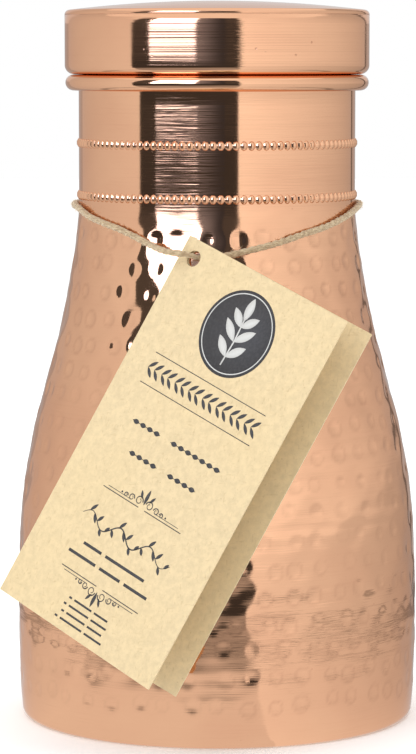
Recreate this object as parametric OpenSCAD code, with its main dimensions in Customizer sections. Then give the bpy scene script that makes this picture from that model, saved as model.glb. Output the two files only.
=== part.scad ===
// Copper water bottle with a push-in lid, and a folded card tag tied round its neck with twine.
// The origin is the centre of the foot, on the surface that the bottle stands on. +Z is up and -Y is the front.

/* [Body] */
// Radius of the neck outside, below the rolled lip
neck_r = 38.54; // [36:0.01:40]
// Largest radius of the belly outside
belly_r = 55.9; // [53:0.1:58]
// Thickness of the copper sheet
sheet = 0.7; // [0.5:0.05:0.9]
// Height of the foot's outer corner, where the side turns under
foot_corner_r = 2.4; // [1.5:0.1:3]
// Inner radius of the sheet's turned-in foot flange
foot_flange_r = 44; // [40:0.5:47]
// Height of the base plate's dome inside
base_rise = 3.4; // [1:0.1:4]

/* [Lip and beads] */
// Height of the rolled lip's top
lip_top = 179.6; // [178:0.1:182]
// Radius of the roll's section
lip_roll_r = 2.2; // [1.8:0.05:2.4]
// Height of the upper bead band's middle
upper_bead_z = 160.7; // [158:0.1:163]
// Height of the lower bead band's middle
lower_bead_z = 146.3; // [146:0.1:149]
// Height of a bead band
bead_band_h = 2.5; // [2:0.1:3]
// How far a bead band stands out from the neck
bead_band_t = 0.6; // [0.4:0.05:0.8]

/* [Lid] */
// Radius of the lid outside
lid_r = 42.4; // [42:0.1:43]
// Height of the lid's rim, where the side meets the top
lid_rim_z = 197.5; // [194:0.1:200]
// Height of the whole bottle, at the middle of the domed top
bottle_h = 200; // [199:0.1:203]
// Radius of the corner between the lid's side and top
lid_corner_r = 1.4; // [1:0.1:2]
// Radius of the lid's lower edge
lid_edge_r = 2.5; // [1.5:0.1:3]
// Radius of the plug that goes into the neck
plug_r = 37.3; // [36.8:0.05:37.4]
// Height of the plug's lower end
plug_bottom = 161; // [158:0.5:164]
// Height of the middle of the seal
seal_z = 170; // [168:0.5:173]
// Radius of the seal's section
seal_r = 1.05; // [0.9:0.05:1.1]

/* [Tag] */
// Width of a leaf of the folded card
tag_w = 59; // [50:1:62]
// Length of a leaf
tag_h = 108; // [90:1:110]
// Thickness of the card
card = 0.4; // [0.3:0.05:0.5]
// Radius of the punched holes
tag_hole_r = 2.25; // [2.1:0.05:2.5]
// Distance of the holes from the fold
hole_from_fold = 4.6; // [4:0.1:6]
// Distance of the holes from the top edge
hole_from_top = 5; // [4:0.1:7]
// Angle between the two leaves, at the fold
tag_opening = 14; // [10:1:18]

/* [Twine] */
// Diameter of the twine
twine_d = 1.8; // [1.4:0.1:2]
// Diameter of the twine where it is squeezed through the holes
twine_hole_d = 1.5; // [1.2:0.1:1.8]
// Radius of the knot
knot_r = 2.3; // [1.8:0.1:2.6]

/* [Hidden] */
$fn = 96;

fit = 0.05;                                  // gap at a running fit, and between two brazed sheets
neck_inner_r = neck_r - sheet;
lip_z = lip_top - lip_roll_r;                // middle of the rolled lip
lip_r = neck_inner_r + lip_roll_r;
lip_wire_r = lip_roll_r - sheet - fit;
lip_slit_h = 0.6;                            // gap between the end of the roll and the neck
shoulder_z = 144.5;                          // where the straight neck turns into the flare
foot_r = belly_r - 0.9;                      // radius at the top of the foot's corner

// Outside of the bottle from the foot to the neck, as [radius, height], joined by a smooth curve
side_points = [
    [foot_r, foot_corner_r],
    [belly_r - 0.4, 10],
    [belly_r, 26],
    [belly_r - 0.2, 44],
    [belly_r - 1.1, 60],
    [belly_r - 3.65, 77],
    [belly_r - 7.95, 94],
    [neck_r + 4.85, 111.5],
    [neck_r + 1.7, 128.5],
    [neck_r + 0.3, 139.5],
    [neck_r, shoulder_z]
];
curve_steps = 4;                             // stretches between two points of the side
corner_steps = 6;                            // stretches in the foot's corner

// Catmull-Rom curve through a list of points, in steps stretches from one point to the next
function blend(a, b, c, d, t) =
    0.5 * (2 * b + (c - a) * t + (2 * a - 5 * b + 4 * c - d) * t * t + (3 * b - a - 3 * c + d) * t * t * t);
function smooth(p, steps) = [
    for (i = [0 : len(p) - 2], k = [0 : steps - 1])
        blend(p[max(i - 1, 0)], p[i], p[i + 1], p[min(i + 2, len(p) - 1)], k / steps),
    p[len(p) - 1]
];

side_curve = smooth(side_points, curve_steps);

// The foot's corner, from the flat underside round to the side
foot_corner = [
    for (k = [0 : corner_steps - 1])
        let (a = -90 + 90 * k / corner_steps)
            [foot_r - foot_corner_r + foot_corner_r * cos(a), foot_corner_r + foot_corner_r * sin(a)]
];

// The same outline moved inwards by the sheet's thickness
function unit(v) = v / norm(v);
function inward(p, i) =
    let (d = unit(p[min(i + 1, len(p) - 1)] - p[max(i - 1, 0)]))
        p[i] + sheet * [-d[1], d[0]];

// Where the twine runs, as [angle round the bottle from the front, radius, height]
twine_route = [
    [-178, 40.1, 143.6], [-155, 40.1, 143.6], [-132, 40.1, 143.6], [-113, 40.0, 143.6], [-98, 39.85, 143.6],
    [-85, 39.8, 143.5], [-73, 39.8, 142.8], [-61, 39.95, 140.9], [-50, 40.1, 139.4], [-41, 40.3, 138.0],
    [-33, 40.8, 136.2], [-26, 42.0, 134.4], [-17.5, 45.6, 132.8], [-11.7, 44.9, 132.2], [-6.5, 42.0, 131.0],
    [-2.2, 41.3, 130.9], [4, 41.2, 131.6], [13, 40.9, 133.0], [20, 40.75, 134.1], [28, 40.55, 135.5],
    [36, 40.35, 137.0], [46, 40.2, 138.4], [57, 40.05, 140.2], [67, 39.9, 141.7], [79, 39.8, 143.2],
    [91, 39.8, 143.6], [104, 39.85, 143.6], [119, 40.0, 143.6], [136, 40.1, 143.6], [156, 40.1, 143.6],
    [178, 40.1, 143.6]
];
twine_steps = 2;                             // rings from one route point to the next
twine_sides = 8;
squeeze_reach = 4;                           // how far from the holes the twine is squeezed
knot_at = [180, 41.4, 143.2];                // middle of the knot
tail_end_z = 131;                            // height of the ends of the twine's tails

// Position of the tag's holes, and how the back leaf is turned there
tag_at = [-7.5, 42.5, 130.4];
tag_facing = -22.5;                          // turned this far round the bottle from the front
tag_lean = 14;                               // its foot leans out by this much
tag_hang = -25;                              // swung this far in its own plane

function around(q) = [q[1] * sin(q[0]), -q[1] * cos(q[0]), q[2]];

// Solid of revolution from its section, drawn as radius and height
module turned() { rotate_extrude() children(); }

// Section of a ring between two radii and two heights
module ring_section(r_in, r_out, z_low, z_high) {
    translate([r_in, z_low]) square([r_out - r_in, z_high - z_low]);
}

// Section of a quarter turn of sheet round [r, z], from straight down to straight out
module quarter_section(r, z, outer, inner, low) {
    intersection() {
        difference() {
            translate([r, z]) circle(outer);
            translate([r, z]) circle(inner);
        }
        translate([r, low ? z - outer : z]) square(outer);
    }
}

// Shallow domed disc of sheet between two radii, rising from z_edge at r_out to z_top at the middle
module dome(r_out, r_in, z_edge, z_top) {
    rise = z_top - z_edge;
    big_r = (r_out * r_out + rise * rise) / (2 * rise);
    difference() {
        intersection() {
            translate([0, 0, z_top - big_r]) sphere(big_r, $fn = 720);
            translate([0, 0, z_edge - sheet]) cylinder(r = r_out, h = rise + 2 * sheet);
        }
        translate([0, 0, z_top - big_r]) sphere(big_r - sheet, $fn = 720);
        if (r_in > 0) {
            translate([0, 0, z_edge - 2 * sheet]) cylinder(r = r_in, h = rise + 4 * sheet);
        }
    }
}

copper = "#c98463";

module body_shell() {
    outline = concat(foot_corner, side_curve, [[neck_r, lip_z]]);
    steps = len(outline) - 1;
    inside = [for (i = [steps : -1 : 1]) inward(outline, i)];
    flange = [
        [foot_r - foot_corner_r, sheet],
        [foot_flange_r, sheet],
        [foot_flange_r, 0]
    ];
    color(copper) turned() {
        difference() {
            union() {
                polygon(concat(outline, inside, flange));
                translate([lip_r, lip_z]) circle(lip_roll_r);
            }
            translate([lip_r, lip_z]) circle(lip_roll_r - sheet);
            // the roll stops short of the neck, so it ends in a narrow slit
            translate([neck_r, lip_z - lip_roll_r]) square([lip_slit_h, lip_roll_r - 0.8]);
        }
    }
}

module base_plate() {
    rim_r = foot_flange_r + 6.5;
    dome_r = foot_flange_r - 1;
    color(copper) union() {
        turned() ring_section(dome_r - 0.5, rim_r, sheet + fit, 2 * sheet + fit);
        dome(dome_r, 0, 2 * sheet + fit, 2 * sheet + fit + base_rise);
    }
}

module lip_wire() {
    color("#9c5f45") turned() translate([lip_r, lip_z]) circle(lip_wire_r);
}

// A flat strip with a half-round back, brazed round the neck
module bead_band(z) {
    core_h = bead_band_h - 2 * bead_band_t;
    color(copper) turned() difference() {
        union() {
            ring_section(neck_r, neck_r + bead_band_t, z - core_h / 2, z + core_h / 2);
            translate([neck_r, z - core_h / 2]) circle(bead_band_t);
            translate([neck_r, z + core_h / 2]) circle(bead_band_t);
        }
        ring_section(neck_r - 2, neck_r, z - bead_band_h, z + bead_band_h);
    }
}

module upper_bead_band() { bead_band(upper_bead_z); }
module lower_bead_band() { bead_band(lower_bead_z); }

// The lid's top: a domed disc whose edge turns down and ends in a skirt inside the lid's wall
module lid_top() {
    corner_z = lid_rim_z - lid_corner_r;
    corner_x = lid_r - lid_corner_r;
    skirt_r = lid_r - sheet - fit;
    color(copper) union() {
        turned() {
            quarter_section(corner_x, corner_z, lid_corner_r, lid_corner_r - sheet, false);
            ring_section(skirt_r - sheet, skirt_r, corner_z - 4, corner_z + 0.4);
        }
        dome(corner_x, 0, lid_rim_z, bottle_h);
    }
}

// The lid's wall: a drum that turns in at its lower edge, and sits on the lip
module lid_wall() {
    underside = lip_top + 0.1;
    edge_z = underside + lid_edge_r;
    edge_x = lid_r - lid_edge_r;
    color(copper) turned() {
        ring_section(lid_r - sheet, lid_r, edge_z, lid_rim_z - lid_corner_r - 0.02);
        quarter_section(edge_x, edge_z, lid_edge_r, lid_edge_r - sheet, true);
        ring_section(plug_r + fit, edge_x, underside, underside + sheet);
    }
}

// The plug: a sleeve with a rolled groove for the seal, and a flange brazed inside the lid's wall
module lid_plug() {
    flange_z = lip_top + 0.1 + sheet + fit;
    groove_r = neck_inner_r - 2 * (seal_r + fit) - 0.1;
    groove_h = 2 * seal_r + 0.3;
    wall = 2 * sheet;
    color(copper) turned() {
        difference() {
            ring_section(groove_r - sheet, plug_r, plug_bottom, flange_z + sheet);
            ring_section(groove_r, plug_r + 1, seal_z - groove_h / 2, seal_z + groove_h / 2);
            ring_section(0, plug_r - sheet, plug_bottom - 1, seal_z - groove_h / 2 - wall / 2);
            ring_section(0, plug_r - sheet, seal_z + groove_h / 2 + wall / 2, flange_z + wall);
        }
        ring_section(plug_r - sheet, plug_r + 3, flange_z, flange_z + sheet);
    }
}

// The plug's floor: a flat disc with an upturned rim
module lid_floor() {
    r = plug_r - sheet - fit;
    color(copper) turned() {
        ring_section(0, r, plug_bottom, plug_bottom + sheet);
        ring_section(r - sheet, r, plug_bottom, plug_bottom + 3);
    }
}

module lid_seal() {
    color("#d8d4cc") turned() translate([neck_inner_r - fit - seal_r, seal_z]) circle(seal_r);
}

// Tube along a route: a ring of points round each route point, joined by faces
function frame_at(p, i) =
    let (
        along = unit(p[min(i + 1, len(p) - 1)] - p[max(i - 1, 0)]),
        out = unit([p[i][0], p[i][1], 0]),
        side = unit(cross(along, out))
    )
        [side, cross(side, along)];
function ring_at(p, i, r) =
    let (f = frame_at(p, i))
        [for (k = [0 : twine_sides - 1])
            let (a = 360 * k / twine_sides)
                p[i] + r * (cos(a) * f[0] + sin(a) * f[1])];
function twine_radius(p) =
    norm(p - around(tag_at)) < squeeze_reach ? twine_hole_d / 2 : twine_d / 2;

module tube(p) {
    n = len(p);
    s = twine_sides;
    rings = [for (i = [0 : n - 1]) each ring_at(p, i, twine_radius(p[i]))];
    walls = [
        for (i = [0 : n - 2], k = [0 : s - 1])
            [i * s + k, i * s + (k + 1) % s, (i + 1) * s + (k + 1) % s, (i + 1) * s + k]
    ];
    first = [[for (k = [s - 1 : -1 : 0]) k]];
    last = [[for (k = [0 : s - 1]) (n - 1) * s + k]];
    polyhedron(rings, concat(walls, first, last), convexity = 6);
}

module twine_loop() {
    points = [for (q = smooth(twine_route, twine_steps)) around(q)];
    color("#c8b189") tube(points);
}

// The knot at the back, with the twine's two cut ends hanging from it
module twine_knot() {
    tail_r = twine_d / 2;
    color("#c8b189") union() {
        translate(around(knot_at)) sphere(knot_r, $fn = 12);
        for (side = [-1, 1]) {
            top = around(knot_at + [side * 1.2, 0, 0]);
            foot = around([180 + side * 6, 41.8, tail_end_z]);
            run = foot - top;
            translate(top)
                rotate([0, acos(run[2] / norm(run)), atan2(run[1], run[0])])
                    cylinder(r = tail_r, h = norm(run), $fn = twine_sides);
        }
    }
}

// A leaf of the card in its own frame: the hole's centre at the origin, the fold on the left
module leaf() {
    difference() {
        translate([-hole_from_fold, hole_from_top - tag_h, -card / 2]) cube([tag_w, tag_h, card]);
        translate([0, 0, -card]) cylinder(r = tag_hole_r, h = 2 * card);
    }
}

// Puts children from the back leaf's frame into the bottle's
module hung() {
    translate(around(tag_at)) rotate([0, 0, tag_facing]) rotate([90 - tag_lean, 0, 0])
        rotate([0, 0, tag_hang]) children();
}

module tag_back_leaf() {
    color("#e6d3a6") hung() leaf();
}

// The front leaf turns about the fold, which runs along the back leaf's front face
module tag_front_leaf() {
    color("#eddbb4") hung()
        translate([-hole_from_fold, 0, card / 2 + fit / 2])
            rotate([0, -tag_opening, 0])
                translate([hole_from_fold, 0, card / 2 + fit / 2]) leaf();
}

body_shell();
base_plate();
lip_wire();
upper_bead_band();
lower_bead_band();
lid_top();
lid_wall();
lid_plug();
lid_floor();
lid_seal();
twine_loop();
twine_knot();
tag_back_leaf();
tag_front_leaf();
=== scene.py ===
"""Copper water bottle with a push-in lid, and a folded card tag tied round its neck with twine.

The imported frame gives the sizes. Shapes are worked out in millimetres and become metres in add_piece.
"""

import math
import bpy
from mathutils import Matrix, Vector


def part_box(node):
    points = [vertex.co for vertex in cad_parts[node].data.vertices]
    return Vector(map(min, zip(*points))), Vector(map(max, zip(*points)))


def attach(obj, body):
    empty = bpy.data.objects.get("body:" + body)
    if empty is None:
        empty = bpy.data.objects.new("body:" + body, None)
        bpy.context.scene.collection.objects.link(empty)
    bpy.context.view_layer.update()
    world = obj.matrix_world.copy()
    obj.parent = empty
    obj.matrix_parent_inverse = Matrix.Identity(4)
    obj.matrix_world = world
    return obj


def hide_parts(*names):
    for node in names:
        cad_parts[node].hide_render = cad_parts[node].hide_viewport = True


bl_info = {
    "name": "Copper Water Bottle",
    "version": (1, 0, 0),
    "blender": (4, 5, 0),
    "location": "View3D > Sidebar > Copper Bottle",
    "description": "Builds a hammered copper water bottle with its lid, twine and card tag",
    "category": "Add Mesh",
}

import bmesh
import bpy
import numpy as np
from bpy.props import FloatProperty, FloatVectorProperty, IntProperty, PointerProperty
from mathutils import Matrix, Vector

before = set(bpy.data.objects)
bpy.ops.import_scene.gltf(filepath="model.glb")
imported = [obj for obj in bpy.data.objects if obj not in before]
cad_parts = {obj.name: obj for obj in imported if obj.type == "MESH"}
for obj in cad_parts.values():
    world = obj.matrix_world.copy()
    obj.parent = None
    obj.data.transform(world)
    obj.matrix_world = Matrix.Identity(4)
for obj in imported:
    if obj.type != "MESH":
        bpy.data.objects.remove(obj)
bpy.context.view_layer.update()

MM = 0.001
TURN = 2 * math.pi


# ---------------------------------------------------------------- sizes from the frame, in millimetres


def extent(node):
    """Lowest and highest corner of a CAD node."""
    low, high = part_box(node)
    return np.array(low) / MM, np.array(high) / MM


SHELL_HIGH = extent("body_shell")[1]
WIRE_LOW, WIRE_HIGH = extent("lip_wire")
PLATE_LOW, PLATE_HIGH = extent("base_plate")
TOP_LOW, TOP_HIGH = extent("lid_top")
WALL_LOW, WALL_HIGH = extent("lid_wall")
PLUG_LOW, PLUG_HIGH = extent("lid_plug")
DISC_LOW, DISC_HIGH = extent("lid_floor")
SEAL_LOW, SEAL_HIGH = extent("lid_seal")
BEADS = [np.mean(extent(node), axis=0)[2] for node in ("upper_bead_band", "lower_bead_band")]

# The sheet's thickness, and the play between two pieces that fit
SHEET = 0.7
FIT = 0.05

# Radii and heights of the belly, the rolled lip, the neck, the foot and the lid
BELLY_R = round(SHELL_HIGH[0], 2)
LIP_Z = round((WIRE_LOW[2] + WIRE_HIGH[2]) / 2, 2)
WIRE_R = round((WIRE_HIGH[2] - WIRE_LOW[2]) / 2, 2)
ROLL_R = WIRE_R + SHEET + FIT
LIP_R = round(WIRE_HIGH[0], 2) - WIRE_R
NECK_IN = LIP_R - ROLL_R
NECK_R = NECK_IN + SHEET
SHOULDER_Z = 144.5
FOOT_CORNER = 2.4
FLANGE_R = 44.0
FOOT_R = BELLY_R - 0.9
LID_R = round(WALL_HIGH[0], 2)
LID_CORNER = 1.4
LID_EDGE = 2.5
SKIRT = 4
PLUG_R = NECK_R - 1.24

# Outside of the bottle from the foot to the neck, as radius and height
SIDE = [
    (FOOT_R, FOOT_CORNER),
    (BELLY_R - 0.4, 10),
    (BELLY_R, 26),
    (BELLY_R - 0.2, 44),
    (BELLY_R - 1.1, 60),
    (BELLY_R - 3.65, 77),
    (BELLY_R - 7.95, 94),
    (NECK_R + 4.85, 111.5),
    (NECK_R + 1.7, 128.5),
    (NECK_R + 0.3, 139.5),
    (NECK_R, SHOULDER_Z),
]

# Where the twine runs, as degrees round the bottle from the front, radius and height
TWINE_ROUTE = [
    (-178, 40.1, 143.6), (-155, 40.1, 143.6), (-132, 40.1, 143.6), (-113, 40.0, 143.6), (-98, 39.85, 143.6),
    (-85, 39.8, 143.5), (-73, 39.8, 142.8), (-61, 39.95, 140.9), (-50, 40.1, 139.4), (-41, 40.3, 138.0),
    (-33, 40.8, 136.2), (-26, 42.0, 134.4), (-17.5, 45.6, 132.8), (-11.7, 44.9, 132.2), (-6.5, 42.0, 131.0),
    (-2.2, 41.3, 130.9), (4, 41.2, 131.6), (13, 40.9, 133.0), (20, 40.75, 134.1), (28, 40.55, 135.5),
    (36, 40.35, 137.0), (46, 40.2, 138.4), (57, 40.05, 140.2), (67, 39.9, 141.7), (79, 39.8, 143.2),
    (91, 39.8, 143.6), (104, 39.85, 143.6), (119, 40.0, 143.6), (136, 40.1, 143.6), (156, 40.1, 143.6),
    (178, 40.1, 143.6),
]
KNOT = (180, 41.4, 143.2)
TAIL_END = (41.8, 131.0)

# The tag's holes round the bottle, how the back leaf is turned there and how far the front leaf is open, in
# degrees, and the leaves' edges from the hole's middle. The card bows only below its flat top.
TAG_AT = (-7.5, 42.5, 130.4)
TAG_FACING = -22.5
TAG_LEAN = 14
TAG_HANG = -25
TAG_OPENING = 14
LEAF_LEFT, LEAF_RIGHT = -4.6, 54.4
LEAF_TOP, LEAF_FOOT = 5.0, -103.0
FLAT_TOP = 12


# ---------------------------------------------------------------- settings that a user would change


def length_field(name, description, default, low, high):
    """Property for a length, whose values are given here in millimetres."""
    return FloatProperty(
        name=name, description=description, default=default * MM, min=low * MM, max=high * MM,
        unit="LENGTH", precision=6,
    )


def colour_field(name, description, default):
    """Property for a colour."""
    return FloatVectorProperty(
        name=name, description=description, default=default, min=0, max=1, subtype="COLOR"
    )


class CopperSettings(bpy.types.PropertyGroup):
    """Sizes and colours of the copper parts."""

    dent_gap: length_field("Dent spacing", "Distance between hammer marks round the belly", 7.7, 5, 12)
    dent_row: length_field("Dent row spacing", "Distance between rows of hammer marks", 7.4, 5, 12)
    dent_radius: length_field("Dent radius", "Radius of a hammer mark", 2.1, 1, 2.5)
    dent_depth: length_field("Dent depth", "Depth of a hammer mark at its middle", 0.21, 0, 0.35)
    ripple: length_field("Ripple", "Height of the slow waves left in the sheet", 0.12, 0, 0.2)
    bead_count: IntProperty(
        name="Beads", description="Number of beads in a band round the neck", default=116, min=40, max=140,
    )
    bead_radius: length_field("Bead radius", "Half the height of a bead", 1.35, 0.5, 1.5)
    bright: colour_field("Bright copper", "Colour of the polished copper", (0.93, 0.53, 0.325))
    tarnish: colour_field("Tarnished copper", "Colour where the copper has dulled", (0.80, 0.41, 0.25))
    inside: colour_field("Inside", "Colour of the unpolished copper inside the bottle", (0.62, 0.33, 0.22))


class TwineSettings(bpy.types.PropertyGroup):
    """Sizes and colours of the twine."""

    thickness: length_field("Thickness", "Diameter of the twine", 1.8, 1.4, 2)
    squeezed: length_field("Squeezed", "Diameter of the twine inside the tag's holes", 1.5, 1.2, 1.8)
    lay_length: length_field("Lay length", "Length of twine in which its strands make one turn", 7, 3, 12)
    fibres: IntProperty(
        name="Loose fibres", description="Number of hairs along the loop", default=1500, min=0, max=3000,
    )
    light: colour_field("Light jute", "Colour of the light fibres", (0.63, 0.50, 0.31))
    dark: colour_field("Dark jute", "Colour of the dark fibres", (0.33, 0.22, 0.12))


class TagSettings(bpy.types.PropertyGroup):
    """Sizes and colours of the folded card."""

    thickness: length_field("Card thickness", "Thickness of the card", 0.4, 0.2, 0.5)
    hole: length_field("Hole radius", "Radius of the punched holes", 2.25, 2, 2.5)
    bow: length_field("Bow", "How far the leaves bow outwards at their middle", 0.45, 0, 1)
    card: colour_field("Card", "Colour of the kraft card", (0.763, 0.607, 0.363))
    fleck: colour_field("Fleck", "Colour of the dark fibres in the card", (0.50, 0.36, 0.19))
    ink: colour_field("Ink", "Colour of the print", (0.045, 0.043, 0.045))


class StageSettings(bpy.types.PropertyGroup):
    """Place of the camera and strength of the lights."""

    distance: FloatProperty(
        name="Camera distance", description="From the bottle's axis to the camera",
        default=0.9207, min=0.3, max=3, unit="LENGTH", precision=4,
    )
    height: FloatProperty(
        name="Camera height", description="From the table to the camera",
        default=0.185, min=0, max=1, unit="LENGTH", precision=4,
    )
    tilt: FloatProperty(
        name="Camera tilt", description="How far the camera looks down",
        default=math.radians(5.59), min=0, max=1, unit="ROTATION", precision=4,
    )
    lens: FloatProperty(
        name="Lens", description="Focal length in millimetres", default=157.1, min=20, max=300,
    )
    key: FloatProperty(
        name="Key light", description="Power of the main light in watts", default=9, min=0, max=500,
    )
    sky: FloatProperty(
        name="Surroundings", description="Brightness of the white studio", default=1.0, min=0, max=3,
    )


SETTINGS = {
    "bottle_copper": CopperSettings,
    "bottle_twine": TwineSettings,
    "bottle_tag": TagSettings,
    "bottle_stage": StageSettings,
}


# ---------------------------------------------------------------- curves and grids


def stacked(*columns):
    """Points whose coordinates are arrays that are spread out to the same shape."""
    return np.stack(np.broadcast_arrays(*columns), axis=-1)


def arc(centre, radius, start, end, steps):
    """Circle about centre: radius times the cosine and sine of angles from start to end, in degrees."""
    a = np.radians(np.linspace(start, end, steps + 1))
    return stacked(centre[0] + radius * np.cos(a), centre[1] + radius * np.sin(a))


def dome_over(radius, edge_z, top_z, steps):
    """Part of a large circle, from the axis at top_z to the given radius at edge_z. The circle's radius is
    (radius squared + rise squared) / (2 rise)."""
    rise = top_z - edge_z
    large = (radius**2 + rise**2) / (2 * rise)
    r = np.linspace(0, radius, steps)
    return stacked(r, top_z - large + np.sqrt(large**2 - r**2))


def smooth_through(points, steps):
    """Catmull-Rom curve: between two points, the cubic whose slope at a point is half the step between its
    neighbours."""
    p = np.asarray(points, float)
    q = np.vstack([p[:1], p, p[-1:]])
    t = (np.arange(steps) / steps)[None, :, None]
    a, b, c, d = (q[i : i + len(p) - 1, None, :] for i in range(4))
    curve = 0.5 * (2 * b + (c - a) * t + (2 * a - 5 * b + 4 * c - d) * t**2 + (3 * b - a - 3 * c + d) * t**3)
    return np.vstack([curve.reshape(-1, p.shape[1]), p[-1:]])


def unit(vectors):
    """Vectors made one long."""
    return vectors / np.linalg.norm(vectors, axis=1, keepdims=True)


def eased(x):
    """Smooth step: 0 below 0, 1 above 1, and x squared times (3 - 2x) between them."""
    x = np.clip(x, 0, 1)
    return x * x * (3 - 2 * x)


def along(points):
    """Length of a line up to each of its points."""
    steps = np.linalg.norm(np.diff(points, axis=0), axis=1)
    return np.concatenate([[0], np.cumsum(steps)])


def respaced(points, gap):
    """The line again, with its points about gap apart, each between the two points that its length falls
    between."""
    run = along(points)
    wanted = np.linspace(0, run[-1], max(2, int(round(run[-1] / gap)) + 1))
    return stacked(*(np.interp(wanted, run, column) for column in points.T))


def headings(points, closed=False):
    """Unit direction of a line at each point, from the point before to the point after."""
    if closed:
        return unit(np.roll(points, -1, axis=0) - np.roll(points, 1, axis=0))
    return unit(np.gradient(points, axis=0))


def round_bottle(route):
    """Degrees from the front, radius and height as x, y and z."""
    q = np.asarray(route, float).reshape(-1, 3)
    a = np.radians(q[:, 0])
    return stacked(q[:, 1] * np.sin(a), -q[:, 1] * np.cos(a), q[:, 2])


def grid_faces(rows, columns, close_rows=False, close_columns=False):
    """Quads of a grid: a point, the next in its row, and the two that follow them in the next row."""
    r = np.arange(rows if close_rows else rows - 1)[:, None]
    c = np.arange(columns if close_columns else columns - 1)[None, :]
    next_r, next_c = (r + 1) % rows, (c + 1) % columns
    corners = (r * columns + c, r * columns + next_c, next_r * columns + next_c, next_r * columns + c)
    return stacked(*corners).reshape(-1, 4)


def spokes(ahead, across, count):
    """Directions round a path: cos a * side + sin a * up, where side is across the path and the given
    direction, and up is across the path and side."""
    side = unit(np.cross(ahead, across))
    up = np.cross(side, ahead)
    a = np.arange(count) * TURN / count
    return np.cos(a)[:, None] * side[:, None] + np.sin(a)[:, None] * up[:, None]


def swept(path, across, radius, closed=False):
    """Tube: path(s) + radius(s, a) * spokes(s, a), where radius is an array of rings by sides."""
    sides = radius.shape[1]
    points = path[:, None] + radius[..., None] * spokes(headings(path, closed), across, sides)
    return points.reshape(-1, 3), grid_faces(len(path), sides, closed, True)


def joined(*shapes):
    """Several shapes, each points and faces, as one."""
    starts = np.cumsum([0] + [len(points) for points, _ in shapes[:-1]])
    faces = [[i + int(start) for i in face] for (_, some), start in zip(shapes, starts) for face in some]
    return np.vstack([points for points, _ in shapes]), faces


def capped(points, faces, sides):
    """A tube with its first and last ring closed, each by one face of all the ring's points."""
    last = len(points) - sides
    ends = [list(range(sides))[::-1], list(range(last, last + sides))]
    return points, np.asarray(faces).tolist() + ends


# ---------------------------------------------------------------- objects


def add_piece(name, points, faces, body, stands_for=(), slot=None, materials=(), weld=False):
    """Makes an object at the origin from points in millimetres, and puts it on its CAD body."""
    mesh = bpy.data.meshes.new(name)
    mesh.from_pydata((np.asarray(points) * MM).tolist(), [], [list(map(int, face)) for face in faces])
    for material in materials:
        mesh.materials.append(material)
    if weld:
        whole = bmesh.new()
        whole.from_mesh(mesh)
        bmesh.ops.remove_doubles(whole, verts=whole.verts, dist=1e-6)
        whole.to_mesh(mesh)
        whole.free()
    mesh.polygons.foreach_set("use_smooth", [True] * len(mesh.polygons))
    mesh.validate()
    mesh.update()
    piece = bpy.data.objects.new(name, mesh)
    bpy.context.scene.collection.objects.link(piece)
    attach(piece, body)
    if stands_for:
        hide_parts(*stands_for)
    return piece


def add_turned(name, outline, columns, body, node, slot, finish, weld=False):
    """Adds the piece that an outline makes when it is carried round the axis, in place of a CAD node."""
    return add_piece(name, *turned(outline, columns), body, [node], slot, [finish], weld)


def turned(outline, columns):
    """Surface of revolution: a point of the outline, (radius, height), goes to (radius cos v, radius sin v,
    height). An outline that starts off the axis is closed."""
    v = np.arange(columns) * TURN / columns
    r, z = outline[:, :1], outline[:, 1:]
    points = stacked(r * np.cos(v), r * np.sin(v), z).reshape(-1, 3)
    return points, grid_faces(len(outline), columns, outline[0][0] > 0, True)


def rounded(corners, radius, steps=3):
    """An outline with each of its corners replaced by a curve that starts and ends radius away from it,
    the parabola between those two points that heads for the corner from both."""
    p = np.asarray(corners, float)
    before, after = np.roll(p, 1, axis=0) - p, np.roll(p, -1, axis=0) - p
    reach_before = np.minimum(radius, 0.45 * np.linalg.norm(before, axis=1))[:, None]
    reach_after = np.minimum(radius, 0.45 * np.linalg.norm(after, axis=1))[:, None]
    start = p + unit(before) * reach_before
    end = p + unit(after) * reach_after
    t = np.linspace(0, 1, steps + 1)[None, :, None]
    curve = start[:, None] * (1 - t) ** 2 + 2 * p[:, None] * t * (1 - t) + end[:, None] * t**2
    return curve.reshape(-1, 2)


# ---------------------------------------------------------------- shader maths


class Wire:
    """A node's output, on which Python's operators add Math nodes."""

    def __init__(self, board, socket):
        self.board = board
        self.socket = socket

    def maths(self, operation, *values, clamp=False):
        """Adds the Math node for an operation on values, each a number or a Wire."""
        settings = {"operation": operation, "use_clamp": clamp}
        return self.board.add("ShaderNodeMath", settings, dict(enumerate(values)))

    def __add__(self, other):
        return self.maths("ADD", self, other)

    def __sub__(self, other):
        return self.maths("SUBTRACT", self, other)

    def __rsub__(self, other):
        return self.maths("SUBTRACT", other, self)

    def __mul__(self, other):
        return self.maths("MULTIPLY", self, other)

    def __pow__(self, other):
        return self.maths("POWER", self, other)

    __radd__ = __add__
    __rmul__ = __mul__

    def clamped(self):
        """The same value, kept between 0 and 1."""
        return self.maths("ADD", self, 0.0, clamp=True)

    def between(self, low, high):
        """0 below low, 1 above high, and a smooth rise between them."""
        inputs = {"Value": self, "From Min": low, "From Max": high}
        return self.board.add("ShaderNodeMapRange", {"interpolation_type": "SMOOTHSTEP"}, inputs)


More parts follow.
